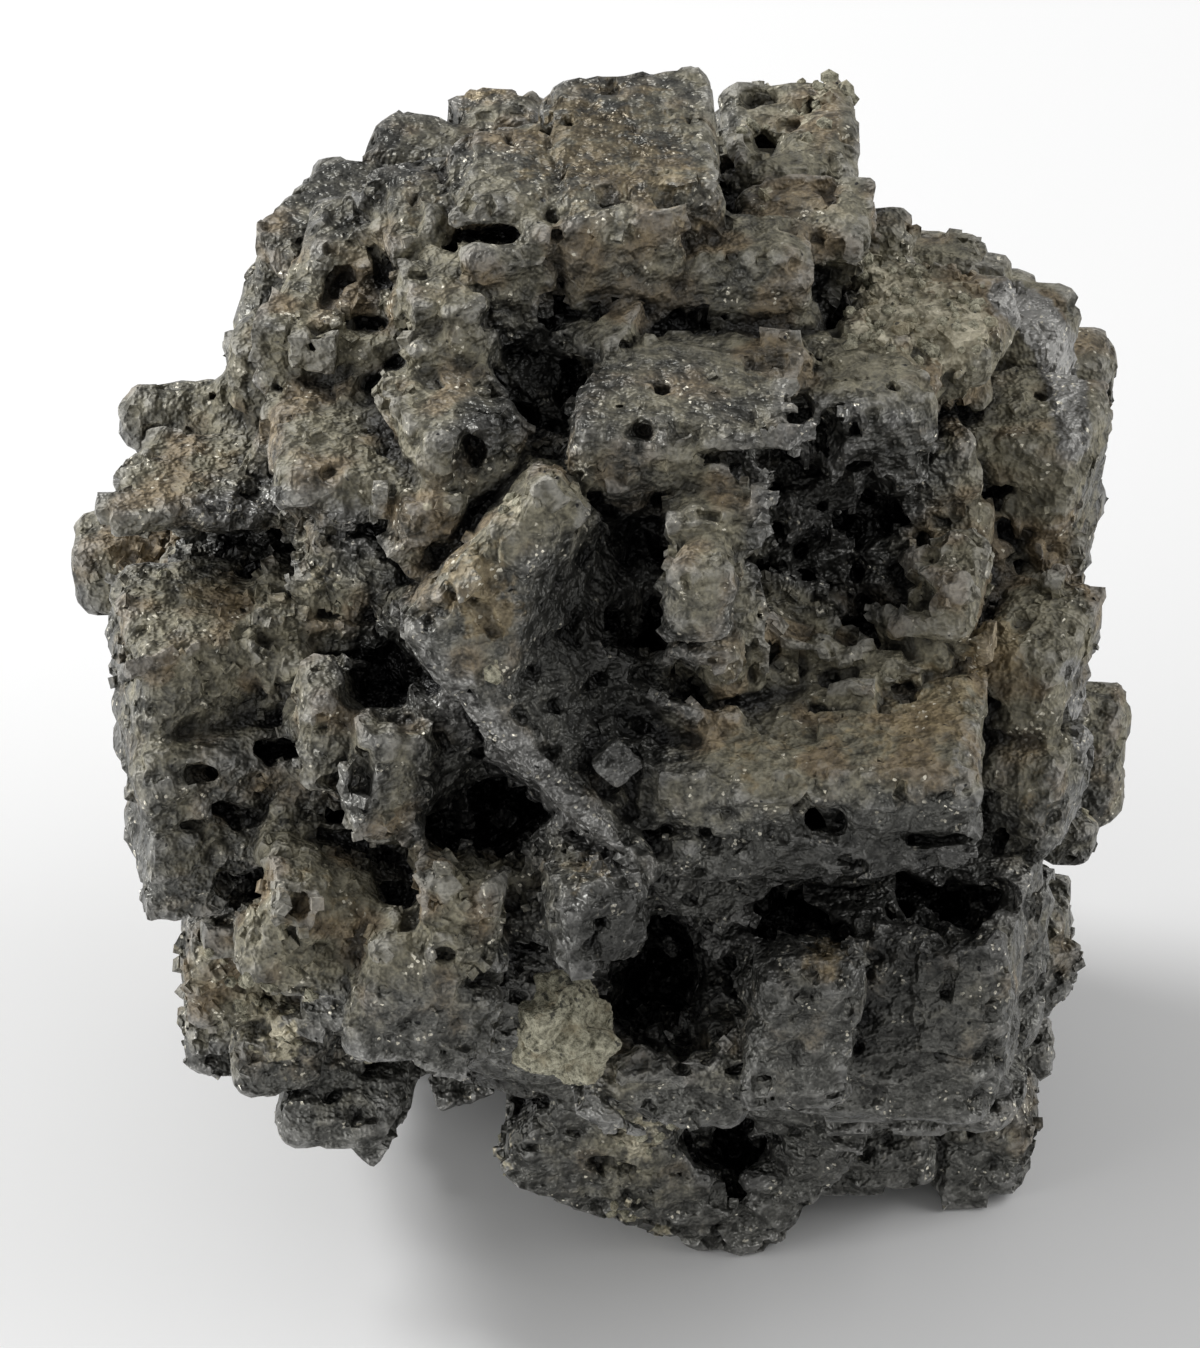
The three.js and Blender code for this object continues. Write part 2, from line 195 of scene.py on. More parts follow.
def window(middle, reach):
    """The part of the grid within reach of a point: its slices and its points' offsets, in mm."""
    first = np.maximum(np.floor((middle - reach) / STEP).astype(int) - GRID_LOW, 0)
    last = np.minimum(np.ceil((middle + reach) / STEP).astype(int) - GRID_LOW + 1, GRID_SHAPE)
    slices = tuple(slice(start, end) for start, end in zip(first, last))
    lines = [
        (GRID_LOW[axis] + np.arange(first[axis], last[axis])) * STEP - middle[axis]
        for axis in range(3)
    ]
    return slices, np.stack(np.meshgrid(*lines, indexing="ij"), -1).astype(np.float32)


def shape_block(values, middle, axes, halves, cut):
    """Adds a small block to the solid, or cuts one out of it."""
    slices, offsets = window(middle, float(np.linalg.norm(halves)) + STEP)
    outside = (np.abs(offsets @ axes.T.astype(np.float32)) - halves).max(-1)
    if cut:
        values[slices] = np.maximum(values[slices], -outside)
    else:
        values[slices] = np.minimum(values[slices], outside)


RIM_REACH = 1.8  # half sizes of a pit, out to where the skin sinks round it
RIM_SINK = 0.25  # of its least half size, the most that it sinks


def shape_pit(values, middle, axes, halves, ragged, raggedness):
    """Cuts a pit, boxy and with a ragged, sunken rim, into the solid."""
    slices, offsets = window(middle, float(max(halves)) * RIM_REACH + STEP)
    radius = (np.abs((offsets @ axes.T.astype(np.float32)) / halves) ** 3).sum(-1) ** (1 / 3)
    values[slices] += RIM_SINK * min(halves) * np.exp(-(radius**2))
    inside = (0.9 - radius + raggedness * ragged[slices]) * min(halves)
    values[slices] = np.maximum(values[slices], inside)


cad_mesh = merged_copy(node)
flat_mesh = cad_mesh.copy()
bmesh.ops.dissolve_limit(
    flat_mesh, angle_limit=math.radians(2), verts=flat_mesh.verts, edges=flat_mesh.edges
)
points, triangles = triangles_of(cad_mesh)
surface = BVHTree.FromPolygons([Vector(point) for point in points], triangles.tolist())


def seen_at(across, up):
    """The point of the surface that the showing side has at a place on it."""
    start = CENTRE + across * ACROSS + up * UP + 30 * OUT
    return np.array(surface.ray_cast(Vector(start), Vector(-OUT))[0])


def face_axes(face):
    """Axes of a flat face: along its longest edge, square to that, and outwards."""
    longest = max(face.edges, key=lambda edge: round(edge.calc_length(), 2))
    run = longest.verts[1].co - longest.verts[0].co
    run = (run - face.normal * run.dot(face.normal)).normalized()
    if run.x + 0.1 * run.y + 0.01 * run.z < 0:  # of the two ways along an edge, always the same one
        run = -run
    return np.array((run, face.normal.cross(run), face.normal))


# The flat faces of the crystals: middle, area, axes and corners, in an order that doesn't hang on how
# the part's mesh was written.
LEAST_FACE = 0.6  # mm2
faces = []
for face in flat_mesh.faces:
    if face.calc_area() > LEAST_FACE:
        middle = np.array(face.calc_center_median())
        corners = np.array([corner.co for corner in face.verts])
        first = np.lexsort(np.round(corners, 2).T)[0]
        faces.append((middle, face.calc_area(), face_axes(face), np.roll(corners, -first, 0)))
faces.sort(key=lambda row: tuple(np.round(row[0], 1)))

rng = np.random.default_rng(11)


def random_in_face(corners):
    """A random place on a face, from the fan of triangles at its first corner."""
    fan = [(corners[0], corners[index], corners[index + 1]) for index in range(1, len(corners) - 1)]
    areas = np.array([np.linalg.norm(np.cross(b - a, c - a)) for a, b, c in fan])
    a, b, c = fan[rng.choice(len(fan), p=areas / areas.sum())]
    share, split = math.sqrt(rng.random()), rng.random()
    return a * (1 - share) + b * share * (1 - split) + c * share * split


def tilted(axes, most):
    """The same axes, turned a little at random; most is in degrees."""
    turn = rng.normal(0, math.radians(most), 3)
    bent = axes + np.cross(np.broadcast_to(turn, (3, 3)), axes)
    first = bent[0] / np.linalg.norm(bent[0])
    third = bent[2] - first * (bent[2] @ first)
    third /= np.linalg.norm(third)
    return np.array((first, np.cross(third, first), third))


EDGE_RADIUS = 0.26  # mm, the least that the crystals' edges are worn to
ball = there_and_back(points, triangles, -EDGE_RADIUS, STEP)
fine = noise(0.3, seed=5)
broad = noise(0.8, seed=6)

# The crystals' own faces: a slow swell, low plateaus with steep sides in level layers, and grains.
SWELL = 0.03  # mm
PLATEAU = 0.055  # mm above and below the swell
STEEPNESS = 1.6
plateaus = np.tanh(STEEPNESS * noise(0.9, 0.9, 0.28, seed=34))
ball += SWELL * noise(1.5, seed=31) + PLATEAU * plateaus
grained(ball, size=0.7, squash=0.6, height=0.06, step=0.025, seed=35)

# Growth steps: thin blocks proud of a face, and recesses between them; and chips along its edges.
STEPS_PER_MM2 = 0.22
RECESSES_PER_MM2 = 0.12
CHIPS_PER_MM = 0.35
HALF_THICK = 0.4  # mm, half of what each block measures across the face
for middle, area, axes, corners in faces:
    for _ in range(rng.poisson(area * STEPS_PER_MM2)):
        halves = np.array((rng.uniform(0.2, 0.9), rng.uniform(0.15, 0.6), HALF_THICK))
        place = random_in_face(corners)
        turned = tilted(axes, 3)
        proud = rng.uniform(0.0, 0.1)
        shape_block(ball, place + turned[2] * (proud - halves[2]), turned, halves, cut=False)
    for _ in range(rng.poisson(area * RECESSES_PER_MM2)):
        halves = np.array((rng.uniform(0.12, 0.6), rng.uniform(0.08, 0.3), HALF_THICK))
        place = random_in_face(corners)
        turned = tilted(axes, 4)
        deep = rng.uniform(0.05, 0.2)
        shape_block(ball, place + turned[2] * (halves[2] - deep), turned, halves, cut=True)
    for start, end in zip(corners, np.roll(corners, -1, 0)):
        for _ in range(rng.poisson(np.linalg.norm(end - start) * CHIPS_PER_MM)):
            halves = rng.uniform(0.08, 0.3, 3)
            place = start + (end - start) * rng.random() + axes[2] * rng.uniform(0, 0.15)
            shape_block(ball, place, tilted(axes, 20), halves, cut=True)

# Rubble of the same arsenic, which fills the gaps between the crystals.
RUBBLE_RADIUS = 1.0  # mm: a gap up to twice as wide is filled
RUBBLE_SINK = 0.85  # mm: how far it lies behind the crystals' faces
RUBBLE_STEP = 0.2  # mm between the points of the grid that it is found on
rubble = there_and_back(points, triangles, RUBBLE_RADIUS, RUBBLE_STEP) + RUBBLE_SINK
rubble += (
    0.2 * noise(2.2, seed=20)
    + 0.22 * np.tanh(2 * broad)
    + 0.12 * np.tanh(2 * noise(0.45, seed=22))
)
grained(rubble, size=0.6, squash=0.8, height=0.3, step=0.1, seed=38)
ball = np.minimum(ball, rubble)
del rubble

# The fine grain of both crystals and rubble.
ball += 0.012 * fine
grained(ball, size=0.32, squash=0.7, height=0.07, step=0.035, seed=36)

# Pits strewn over the faces, and the larger hollows and slots of the showing side.
PITS_PER_MM2 = 0.11
RAGGEDNESS = 0.35  # of the pits' outlines
uneven = 0.7 * (fine + broad)


def shape_hollow(middle, axes, halves, cuts, spread):
    """A hollow of irregular outline: one pit, with smaller ones that overlap its edge."""
    shape_pit(ball, middle, axes, halves, uneven, RAGGEDNESS)
    for _ in range(cuts):
        turn = rng.uniform(0, 2 * math.pi)
        aside = np.array((math.cos(turn), math.sin(turn), 0)) * halves * spread
        size = min(halves[:2]) * rng.uniform(0.5, 0.9, 2)
        smaller = np.array((size[0], size[1], halves[2] * rng.uniform(0.3, 0.8)))
        shape_pit(ball, middle + aside @ axes, tilted(axes, 25), smaller, uneven, RAGGEDNESS)


for middle, area, axes, corners in faces:
    for _ in range(rng.poisson(area * PITS_PER_MM2)):
        wide = 0.08 + 0.24 * rng.random() ** 2
        halves = np.array((wide, wide * rng.uniform(0.4, 1), rng.uniform(0.15, 0.45)))
        shape_hollow(random_in_face(corners), tilted(axes, 15), halves, cuts=2, spread=0.7)

# Where [across, up], the size [wide, high, deep] in mm, and the roll clockwise in degrees.
HOLLOWS = [
    # Crown and upper slope
    (-3.55, 9.0, 1.0, 0.4, 0.8, 0),
    (-2.3, 9.4, 1.5, 0.4, 1.0, 0),
    (3.6, 12.7, 0.7, 0.5, 0.4, 0),
    (3.7, 11.6, 0.9, 0.6, 0.6, 20),
    (2.7, 11.0, 0.6, 0.4, 0.6, 0),
    (5.0, 8.5, 1.3, 0.7, 1.2, 10),
    (-5.1, 7.5, 0.9, 0.35, 0.8, 0),
    (-3.85, 7.4, 1.0, 0.4, 0.9, -5),
    (-4.6, 6.6, 0.5, 0.3, 0.6, 0),
    (-2.4, 7.5, 0.55, 0.6, 0.8, 0),
    (-5.9, 4.2, 0.35, 0.35, 0.5, 0),
    (-1.1, 5.9, 2.1, 1.3, 1.3, -25),
    (-2.75, 4.6, 0.8, 1.0, 1.0, 0),
    (0.9, 5.1, 0.5, 0.4, 0.6, 0),
    # Left wing and left block
    (-8.3, 2.75, 3.4, 0.75, 1.8, -6),
    (-6.8, 2.95, 0.8, 0.8, 1.2, 0),
    (-7.0, -1.9, 1.1, 0.5, 0.8, 0),
    (-8.7, -2.4, 0.7, 0.4, 0.7, 0),
    (-8.2, -3.2, 0.8, 0.35, 0.6, 10),
    (-5.8, -3.3, 0.7, 0.4, 0.8, 0),
    (-7.5, -4.9, 1.6, 1.0, 1.2, 0),
    (-4.7, -0.3, 1.4, 1.6, 2.4, 0),
    (-5.2, -2.4, 0.4, 1.0, 0.8, 0),
    # Middle
    (0.9, 1.7, 1.8, 2.8, 1.6, 0),
    (1.7, -0.3, 2.1, 0.9, 1.2, 15),
    (-2.4, -3.4, 2.4, 1.7, 2.8, 0),
    (2.85, 4.5, 1.6, 0.35, 0.8, 0),
    (5.3, 2.4, 3.4, 3.6, 2.8, 0),
    (7.1, 2.7, 0.6, 1.4, 1.6, 0),
    # Shelf and the gap under it
    (4.9, -3.3, 1.4, 0.6, 1.1, 0),
    (7.2, -3.8, 1.4, 0.35, 0.8, 0),
    (1.7, -3.6, 1.2, 0.45, 0.9, 5),
    (4.6, -5.5, 2.7, 1.2, 2.8, 0),
    (7.7, -5.2, 3.0, 1.2, 2.8, -8),
    # Below
    (-4.4, -5.1, 0.7, 0.6, 1.0, 0),
    (-2.4, -6.9, 1.3, 0.4, 1.1, 5),
    (1.6, -7.0, 2.8, 2.4, 2.8, 0),
    (3.35, -10.95, 2.3, 2.0, 2.6, 0),
    (0.75, -9.9, 1.9, 0.3, 1.1, 33),
]

for across, up, wide, high, deep, roll in HOLLOWS:
    turn = math.radians(-roll)
    run = math.cos(turn) * ACROSS + math.sin(turn) * UP
    axes = np.array((run, np.cross(OUT, run), OUT))
    halves = np.array((wide / 2, high / 2, deep))
    shape_hollow(seen_at(across, up), axes, halves * (0.95, 0.95, 1), cuts=3, spread=0.8)

# The ball stays within the part's own box.
INSET = 0.02  # mm
for axis in range(3):
    place = (GRID_LOW[axis] + np.arange(GRID_SHAPE[axis])) * STEP
    beyond = np.maximum(low_corner[axis] - place, place - high_corner[axis]) + INSET
    ball = np.maximum(ball, along(axis, beyond))


def largest_shell(points, quads):
    """Drops the crumbs that hang loose, which the carving leaves behind. Each face passes on the least
    number among its corners, until all points of one shell share one number."""
    owner = np.arange(len(points))
    corners = np.sort(quads, axis=1)
    while True:
        least = owner[quads].min(1)
        fresh = owner.copy()
        for side in range(4):
            np.minimum.at(fresh, quads[:, side], least)
        fresh = fresh[fresh]
        if (fresh == owner).all():
            break
        owner = fresh
    names, counts = np.unique(owner, return_counts=True)
    kept = owner == names[counts.argmax()]
    number = np.cumsum(kept) - 1
    return points[kept], number[quads[kept[quads[:, 0]]]]


def object_of(name, points, polygons):
    """A finished mesh object, from points in mm."""
    mesh = bpy.data.meshes.new(name)
    mesh.from_pydata((points * 0.001).tolist(), [], polygons.tolist())
    made = bpy.data.objects.new(name, mesh)
    bpy.context.scene.collection.objects.link(made)
    return made


skin, quads = surface_of(ball, GRID_LOW, STEP)
skin, quads = largest_shell(skin, quads)
crystals = object_of("crystal_ball", skin, quads)

BALL_TRIANGLES = 196000
SHARP_EDGE = math.radians(28)  # where faces meet at more than this, the edge is drawn sharp
thin = crystals.modifiers.new("thin", "DECIMATE")
thin.ratio = BALL_TRIANGLES / (2 * len(quads))
depsgraph = bpy.context.evaluated_depsgraph_get()
thinned = bpy.data.meshes.new_from_object(crystals.evaluated_get(depsgraph))
crystals.modifiers.remove(thin)
crystals.data = thinned
thinned.set_sharp_from_angle(angle=SHARP_EDGE)


def blurred(values, radius):
    """A grid's values, each averaged with those around it, twice along each axis."""
    reach = round(radius / STEP)
    for axis in (0, 1, 2, 0, 1, 2):
        pads = [(reach + 1, reach) if other == axis else (0, 0) for other in range(3)]
        total = np.cumsum(np.pad(values, pads), axis)
        count = GRID_SHAPE[axis]
        ahead = [slice(2 * reach + 1, None) if other == axis else slice(None) for other in range(3)]
        behind = [slice(0, count) if other == axis else slice(None) for other in range(3)]
        values = (total[tuple(ahead)] - total[tuple(behind)]) / (2 * reach + 1)
    return values


def sampled(values, places):
    """A grid's values at places in mm."""
    place = places / STEP - GRID_LOW
    cell = np.clip(np.floor(place).astype(int), 0, np.array(GRID_SHAPE) - 2)
    share = np.clip(place - cell, 0, 1)
    found = 0
    for corner in itertools.product((0, 1), repeat=3):
        weight = np.prod(np.where(corner, share, 1 - share), axis=1)
        found = found + weight * values[tuple((cell + corner).T)]
    return found


def vertex_places(mesh):
    """A mesh's points, in mm."""
    places = np.empty(len(mesh.vertices) * 3)
    mesh.vertices.foreach_get("co", places)
    return places.reshape(-1, 3) * 1000


def store(mesh, name, values):
    """Keeps one number for each point of a mesh under a name that the material reads."""
    mesh.attributes.new(name, "FLOAT", "POINT").data.foreach_set("value", values.astype(np.float32))


# What the finish needs to know of each place on the skin: how far it stands out (below 0, how deep it
# lies in a nook), how sheltered it is, and how much it looks up. All come from how much of the space
# round it is solid: half on a flat face, less on an edge, more in a hollow.
NEAR = 0.3  # mm round a place, where edges and nooks tell
FAR = 1.1  # mm round a place, where hollows tell
APART = 0.4  # mm to each side of a place, to tell which way it looks
places = vertex_places(thinned)
matter = np.clip(0.5 - ball / STEP, 0, 1)
near_matter = blurred(matter, NEAR)
far_matter = blurred(matter, FAR)
store(thinned, "stands_out", np.clip((0.5 - sampled(near_matter, places)) / 0.25, -1, 1))
store(thinned, "shelter", np.clip((sampled(far_matter, places) - 0.45) / 0.35, 0, 1))
lean = [
    sampled(far_matter, places - APART * way) - sampled(far_matter, places + APART * way)
    for way in np.eye(3)
]
store(thinned, "faces_up", lean[2] / (np.linalg.norm(lean, axis=0) + 1e-6))

# Where pale crust lies on the showing side, and in the last three entries small painted highlights on
# crystal tips: [across, up], radius in mm and strength.
CREAM_AND_HIGHLIGHTS = [
    (7.7, 7.4, 0.9, 1.5), (6.3, 8.4, 0.8, 0.9), (5.9, 7.2, 0.6, 0.8), (3.6, 10.4, 0.5, 0.6),
    (4.6, 12.2, 0.7, 0.6), (3.3, 12.0, 0.5, 0.5), (-0.2, 10.4, 0.7, 0.4), (0.8, 10.2, 0.5, 0.4),
    (-7.6, -7.3, 0.6, 0.8), (-7.0, -8.4, 0.7, 0.9), (-6.3, -7.2, 0.5, 0.5), (-8.6, -6.6, 0.5, 0.5),
    (-5.0, -8.9, 0.6, 0.3), (0.6, -12.3, 0.3, 0.9), (1.4, -12.8, 0.3, 0.8), (2.6, -12.9, 0.4, 0.4),
    (-9.3, 2.0, 0.5, 0.5), (-6.2, 1.9, 0.6, 0.6), (-7.4, 1.4, 0.6, 0.3), (-5.4, 1.0, 0.5, 0.4),
    (-5.9, -6.0, 0.7, 0.3), (-2.9, -11.0, 0.9, 0.9), (9.4, 7.4, 0.4, 0.3), (1.9, 1.0, 0.6, 0.3),
    (8.2, -1.2, 0.5, 0.3), (-3.65, 3.4, 0.16, 1.3), (-1.85, 3.45, 0.18, 1.3), (-2.3, -0.05, 0.15, 1.2),
]
# Where ochre stains lie, in the same terms.
OCHRE = [
    (8.7, 0.4, 0.6, 1.5), (6.8, -1.3, 1.3, 0.6), (4.6, -1.6, 1.2, 0.4), (3.0, -2.0, 0.9, 0.4),
    (7.6, -0.6, 0.9, 0.5), (-2.8, 2.0, 1.0, 0.7), (-2.3, 1.0, 0.7, 0.7), (6.6, 8.0, 1.2, 0.5),
    (1.4, 10.6, 1.2, 0.6), (-0.9, 11.2, 1.4, 0.6), (0.3, 12.4, 1.4, 0.4),
    (4.9, -6.3, 0.6, 0.8), (-0.3, -4.4, 0.5, 0.7),
    (-6.2, -5.2, 1.4, 0.4), (-8.0, 1.4, 1.3, 0.4), (3.6, 6.6, 1.0, 0.3), (9.6, -2.9, 0.6, 0.5),
    (6.9, 1.9, 0.6, 0.4), (-4.0, 9.8, 0.9, 0.4),
]
# Where the skin is covered with crumbs and tiny crystals.
CRUMBLY = [
    (-8.0, 1.4, 2.2, 1.0), (-5.6, 1.6, 1.3, 1.0), (6.5, 7.8, 1.6, 0.8), (-6.0, -5.3, 1.7, 0.8),
    (5.0, 2.6, 1.8, 1.0), (-3.5, 3.4, 0.9, 0.5), (-8.2, -7.4, 1.5, 0.6), (4.9, -6.3, 0.8, 1.0),
    (-0.3, -4.5, 0.8, 0.9), (0.5, 10.5, 1.6, 0.5), (2.0, -1.8, 1.0, 0.5), (-1.0, 5.6, 1.4, 0.9),
    (0.8, 0.6, 1.4, 0.7), (-2.6, -3.6, 1.4, 0.7), (1.6, -7.0, 1.5, 0.7), (-3.0, -5.6, 1.2, 0.6),
    (9.2, 1.6, 1.6, 0.6), (2.6, 4.6, 1.0, 0.7), (-4.8, 7.2, 1.4, 0.5), (1.0, -12.2, 1.6, 0.5),
]
# Where brown dust lies thicker (above 0) and where the arsenic is bare (below 0); bare places are painted
# black as shade, and most of them lie over the hollows.
DUST_AND_SHADE = [
    # Crown and upper slope
    (0.0, 11.6, 2.4, -0.65), (-5.6, 5.3, 2.5, 0.3), (-6.3, 7.8, 1.5, 0.3), (-9.2, 4.2, 1.4, 0.3),
    (2.6, 6.3, 2.2, -0.45), (7.0, 8.0, 1.6, 0.7), (-2.6, 4.9, 0.8, -0.6), (-1.2, 5.9, 1.4, -1.0),
    (0.4, 8.6, 1.6, 0.3), (-1.9, 8.1, 1.2, -0.2), (-4.6, 11.3, 1.6, -0.6), (-6.5, 9.6, 1.6, -0.4),
    # Shoulders
    (9.0, 6.4, 1.6, 1.3), (6.4, 4.6, 1.3, -0.5), (9.2, 2.8, 1.9, 1.1), (9.7, -0.6, 1.2, 0.7),
    # Left wing and left block
    (-8.2, 2.8, 1.5, -0.9), (-8.0, 1.4, 1.8, 0.4), (-8.0, -2.6, 2.6, 0.0), (-4.7, -0.3, 1.0, -0.9),
    # Middle
    (-2.8, 1.7, 1.3, -0.1), (-1.6, 3.4, 0.8, 0.6), (-0.1, 1.2, 1.6, -1.0), (0.5, -1.5, 1.6, -1.1),
    (2.1, 1.4, 1.0, 0.6), (2.4, 3.6, 1.1, 0.5), (5.2, 2.5, 1.8, -1.0),
    # Shelf and the gap under it
    (4.6, -1.6, 2.2, 0.9), (7.4, -0.9, 1.4, 0.9), (5.2, -3.9, 2.4, -0.9), (4.6, -5.6, 1.5, -1.0),
    (7.7, -5.2, 1.6, -1.0),
    # Below
    (-6.2, -5.3, 1.9, 0.9), (-8.2, -7.4, 1.5, 1.0), (-2.4, -3.4, 1.3, -0.9), (-0.3, -4.5, 0.7, 0.3),
    (0.2, -5.6, 1.2, -0.9),
    (-3.0, -5.6, 1.2, 0.4), (1.6, -7.0, 1.5, -1.0), (4.9, -6.3, 0.8, 0.8), (6.6, -8.4, 2.6, -0.3),
    (3.3, -11.0, 1.1, -0.9), (0.6, -12.3, 1.8, 0.1),
]
# Where the arsenic is bare, smooth and light grey: the rim of the hollow crystal and other worn edges.
# The strongest entries, mostly along the right-hand ridges, also paint near-white highlight streaks.
POLISH_AND_HIGHLIGHTS = [
    (-3.7, 0.0, 0.5, 0.6), (-3.2, -0.8, 0.6, 0.9), (-2.5, -1.5, 0.6, 1.0), (-1.8, -2.1, 0.6, 1.0),
    (-1.1, -2.8, 0.6, 1.0), (-0.4, -3.5, 0.6, 1.0), (0.3, -4.2, 0.6, 0.7), (0.9, -4.8, 0.5, 0.4),
    (-8.6, 3.45, 0.4, 0.9), (-7.9, 3.5, 0.4, 1.0), (-7.3, 3.5, 0.3, 0.8), (-5.4, 3.0, 0.7, 0.9),
    (8.9, 8.15, 0.35, 1.2), (9.3, 8.0, 0.4, 1.5), (9.7, 7.75, 0.4, 1.7), (10.0, 7.4, 0.4, 1.8),
    (10.2, 6.9, 0.4, 1.7),
    (10.3, 6.4, 0.4, 1.6), (10.4, 5.9, 0.35, 1.5), (10.45, 5.4, 0.35, 1.4), (10.5, 4.9, 0.35, 1.2),
    (10.4, -0.1, 0.3, 1.1), (10.6, -0.9, 0.3, 1.2), (10.7, -1.5, 0.3, 1.2), (10.8, -2.0, 0.3, 1.1),
    (-1.0, 8.0, 1.0, 0.4),
    (-6.0, -7.4, 0.4, 0.6), (-4.6, -8.4, 0.4, 0.6), (-3.0, -8.9, 0.4, 0.6), (6.4, 5.3, 0.5, 0.6),
    (7.9, -2.0, 0.5, 0.5), (8.3, -0.9, 0.4, 0.5), (-9.6, 4.6, 0.5, 0.3), (3.8, 10.4, 0.4, 0.4),
]


FRONT_DEPTH = -4  # mm out from the centre, as far back as the listed patches reach


def spread(patches, places):
    """How much of the patches in a list lies at each place; they are seen on the showing side."""
    offset = places - CENTRE
    across, up, out = offset @ ACROSS, offset @ UP, offset @ OUT
    cover = np.zeros(len(places))
    for patch_across, patch_up, radius, strength in patches:
        gap = (across - patch_across) ** 2 + (up - patch_up) ** 2
        cover += strength * np.exp(-gap / radius**2)
    return cover * (out > FRONT_DEPTH)


def scattered(places, count, radii, seed):
    """How strongly each place is covered by patches strewn at random round the hidden sides."""
    dice = np.random.default_rng(seed)
    cover = np.zeros(len(places))
    for _ in range(count):
        way = dice.normal(0, 1, 3)
        way /= np.linalg.norm(way)
        radius, strength = dice.uniform(*radii), dice.uniform(0.3, 1)
        hit = surface.ray_cast(Vector(CENTRE + 30 * way), Vector(-way))[0]
        if way @ OUT < 0.1:
            gap = ((places - np.array(hit)) ** 2).sum(1)
            cover = np.maximum(cover, strength * np.exp(-gap / radius**2))
    return cover


strewn_cream = scattered(places, count=60, radii=(0.4, 1.0), seed=51)
strewn_ochre = scattered(places, count=60, radii=(0.6, 1.6), seed=52)
strewn_dust = scattered(places, count=40, radii=(1.0, 2.4), seed=53)
strewn_bare = scattered(places, count=50, radii=(0.8, 2.0), seed=54)
strewn_polish = scattered(places, count=50, radii=(0.4, 0.9), seed=55)
cream_and_highlights = np.maximum(spread(CREAM_AND_HIGHLIGHTS, places), strewn_cream)
# Pale crust, with three small painted highlights among its patches.
store(thinned, "cream_and_highlights", cream_and_highlights)
store(thinned, "ochre", np.maximum(spread(OCHRE, places), strewn_ochre))
# Dust, and bare places below 0 that the finish paints black as shade.
store(thinned, "dust_and_shade", spread(DUST_AND_SHADE, places) + strewn_dust - strewn_bare)
# Bare polish, with painted highlight streaks where it is strongest.
store(thinned, "polish_and_highlight", spread(POLISH_AND_HIGHLIGHTS, places) + strewn_polish)


def add_node(tree, kind, settings, inputs):
    """A new node with its settings and its inputs: values, or sockets to link."""
    made = tree.nodes.new(kind)
    for name, value in settings.items():
        setattr(made, name, value)
    for name, value in inputs.items():
        if isinstance(name, int):
            socket = made.inputs[name]
        else:
            socket = next(one for one in made.inputs if one.name == name and one.enabled)
        if isinstance(value, bpy.types.NodeSocket):
            tree.links.new(value, socket)
        else:
            socket.default_value = value
    return made


class Wire:
    """A number, colour or vector on its way through a material's nodes."""

    def __init__(self, tree, socket):
        self.tree = tree
        self.socket = socket

    def node(self, kind, settings, inputs, output=0):
        """The wire that leaves a new node, whose inputs are values or wires."""
        sources = {
            name: value.socket if isinstance(value, Wire) else value
            for name, value in inputs.items()
        }
        made = add_node(self.tree, kind, settings, sources)
        found = [one for one in made.outputs if one.enabled]
        return Wire(self.tree, found[output])

    def math(self, operation, *others):
        """This value and others, put through one sum."""
        return self.node("ShaderNodeMath", {"operation": operation}, dict(enumerate((self, *others))))

    def __add__(self, other):
        return self.math("ADD", other)

    def __sub__(self, other):
        return self.math("SUBTRACT", other)

    def __mul__(self, other):
        return self.math("MULTIPLY", other)

    def __rsub__(self, other):
        return self.node("ShaderNodeMath", {"operation": "SUBTRACT"}, {0: other, 1: self})

    __radd__ = __add__
    __rmul__ = __mul__

    def between(self, low, high):
        """0 below low, 1 above high and smooth between them; also the other way round."""
        return self.node(
            "ShaderNodeMapRange",
            {"interpolation_type": "SMOOTHSTEP"},
            {"Value": self, "From Min": low, "From Max": high, "To Min": 0.0, "To Max": 1.0},
        )

    def blend(self, first, second):
        """From one colour to another as this value goes from 0 to 1."""
        return self.node(
            "ShaderNodeMix",
            {"data_type": "RGBA"},
            {"Factor": self, "A": first, "B": second},
        )


class Finish(Wire):
    """A new material's nodes, from which its patterns start."""

    def __init__(self, name):
        self.material = bpy.data.materials.new(name)
        self.material.use_nodes = True
        super().__init__(self.material.node_tree, None)
        self.shader = self.tree.nodes["Principled BSDF"]
        place = self.node("ShaderNodeTexCoord", {}, {}, output=3)  # the object's own coordinates
        self.place = self.node(
            "ShaderNodeVectorMath", {"operation": "SCALE"}, {0: place, "Scale": 1000.0}
        )

    def stored(self, name):
        """A number that the mesh keeps for each of its points."""
        return self.node("ShaderNodeAttribute", {"attribute_name": name}, {}, output=2)

    def cloudy(self, size, detail=2.0, roughness=0.5):
        """Cloudy noise about 0.5, its lumps of a size in mm."""
        inputs = {
            "Vector": self.place,
            "Scale": 1 / size,
            "Detail": detail,
            "Roughness": roughness,
        }
        return self.node("ShaderNodeTexNoise", {}, inputs)

    def cells(self, size, output=0):
        """Cells of a size in mm: the distance from each one's seed, or its own random colour."""
        inputs = {"Vector": self.place, "Scale": 1 / size, "Randomness": 1.0}
        return self.node("ShaderNodeTexVoronoi", {}, inputs, output)

    def set(self, **sockets):
        """Gives the material its final colour, roughness and so on."""
        for name, value in sockets.items():
            socket = self.shader.inputs[name.replace("_", " ")]
            if isinstance(value, Wire):
                self.tree.links.new(value.socket, socket)
            else:
                socket.default_value = value

    def bumped(self, height, depth):
        """The surface's normal with a relief of some depth in mm."""
        inputs = {"Strength": 1.0, "Distance": depth / 1000, "Height": height}
        return self.node("ShaderNodeBump", {}, inputs)


def shade(red, green, blue):
    """A solid colour."""
    return (red, green, blue, 1.0)


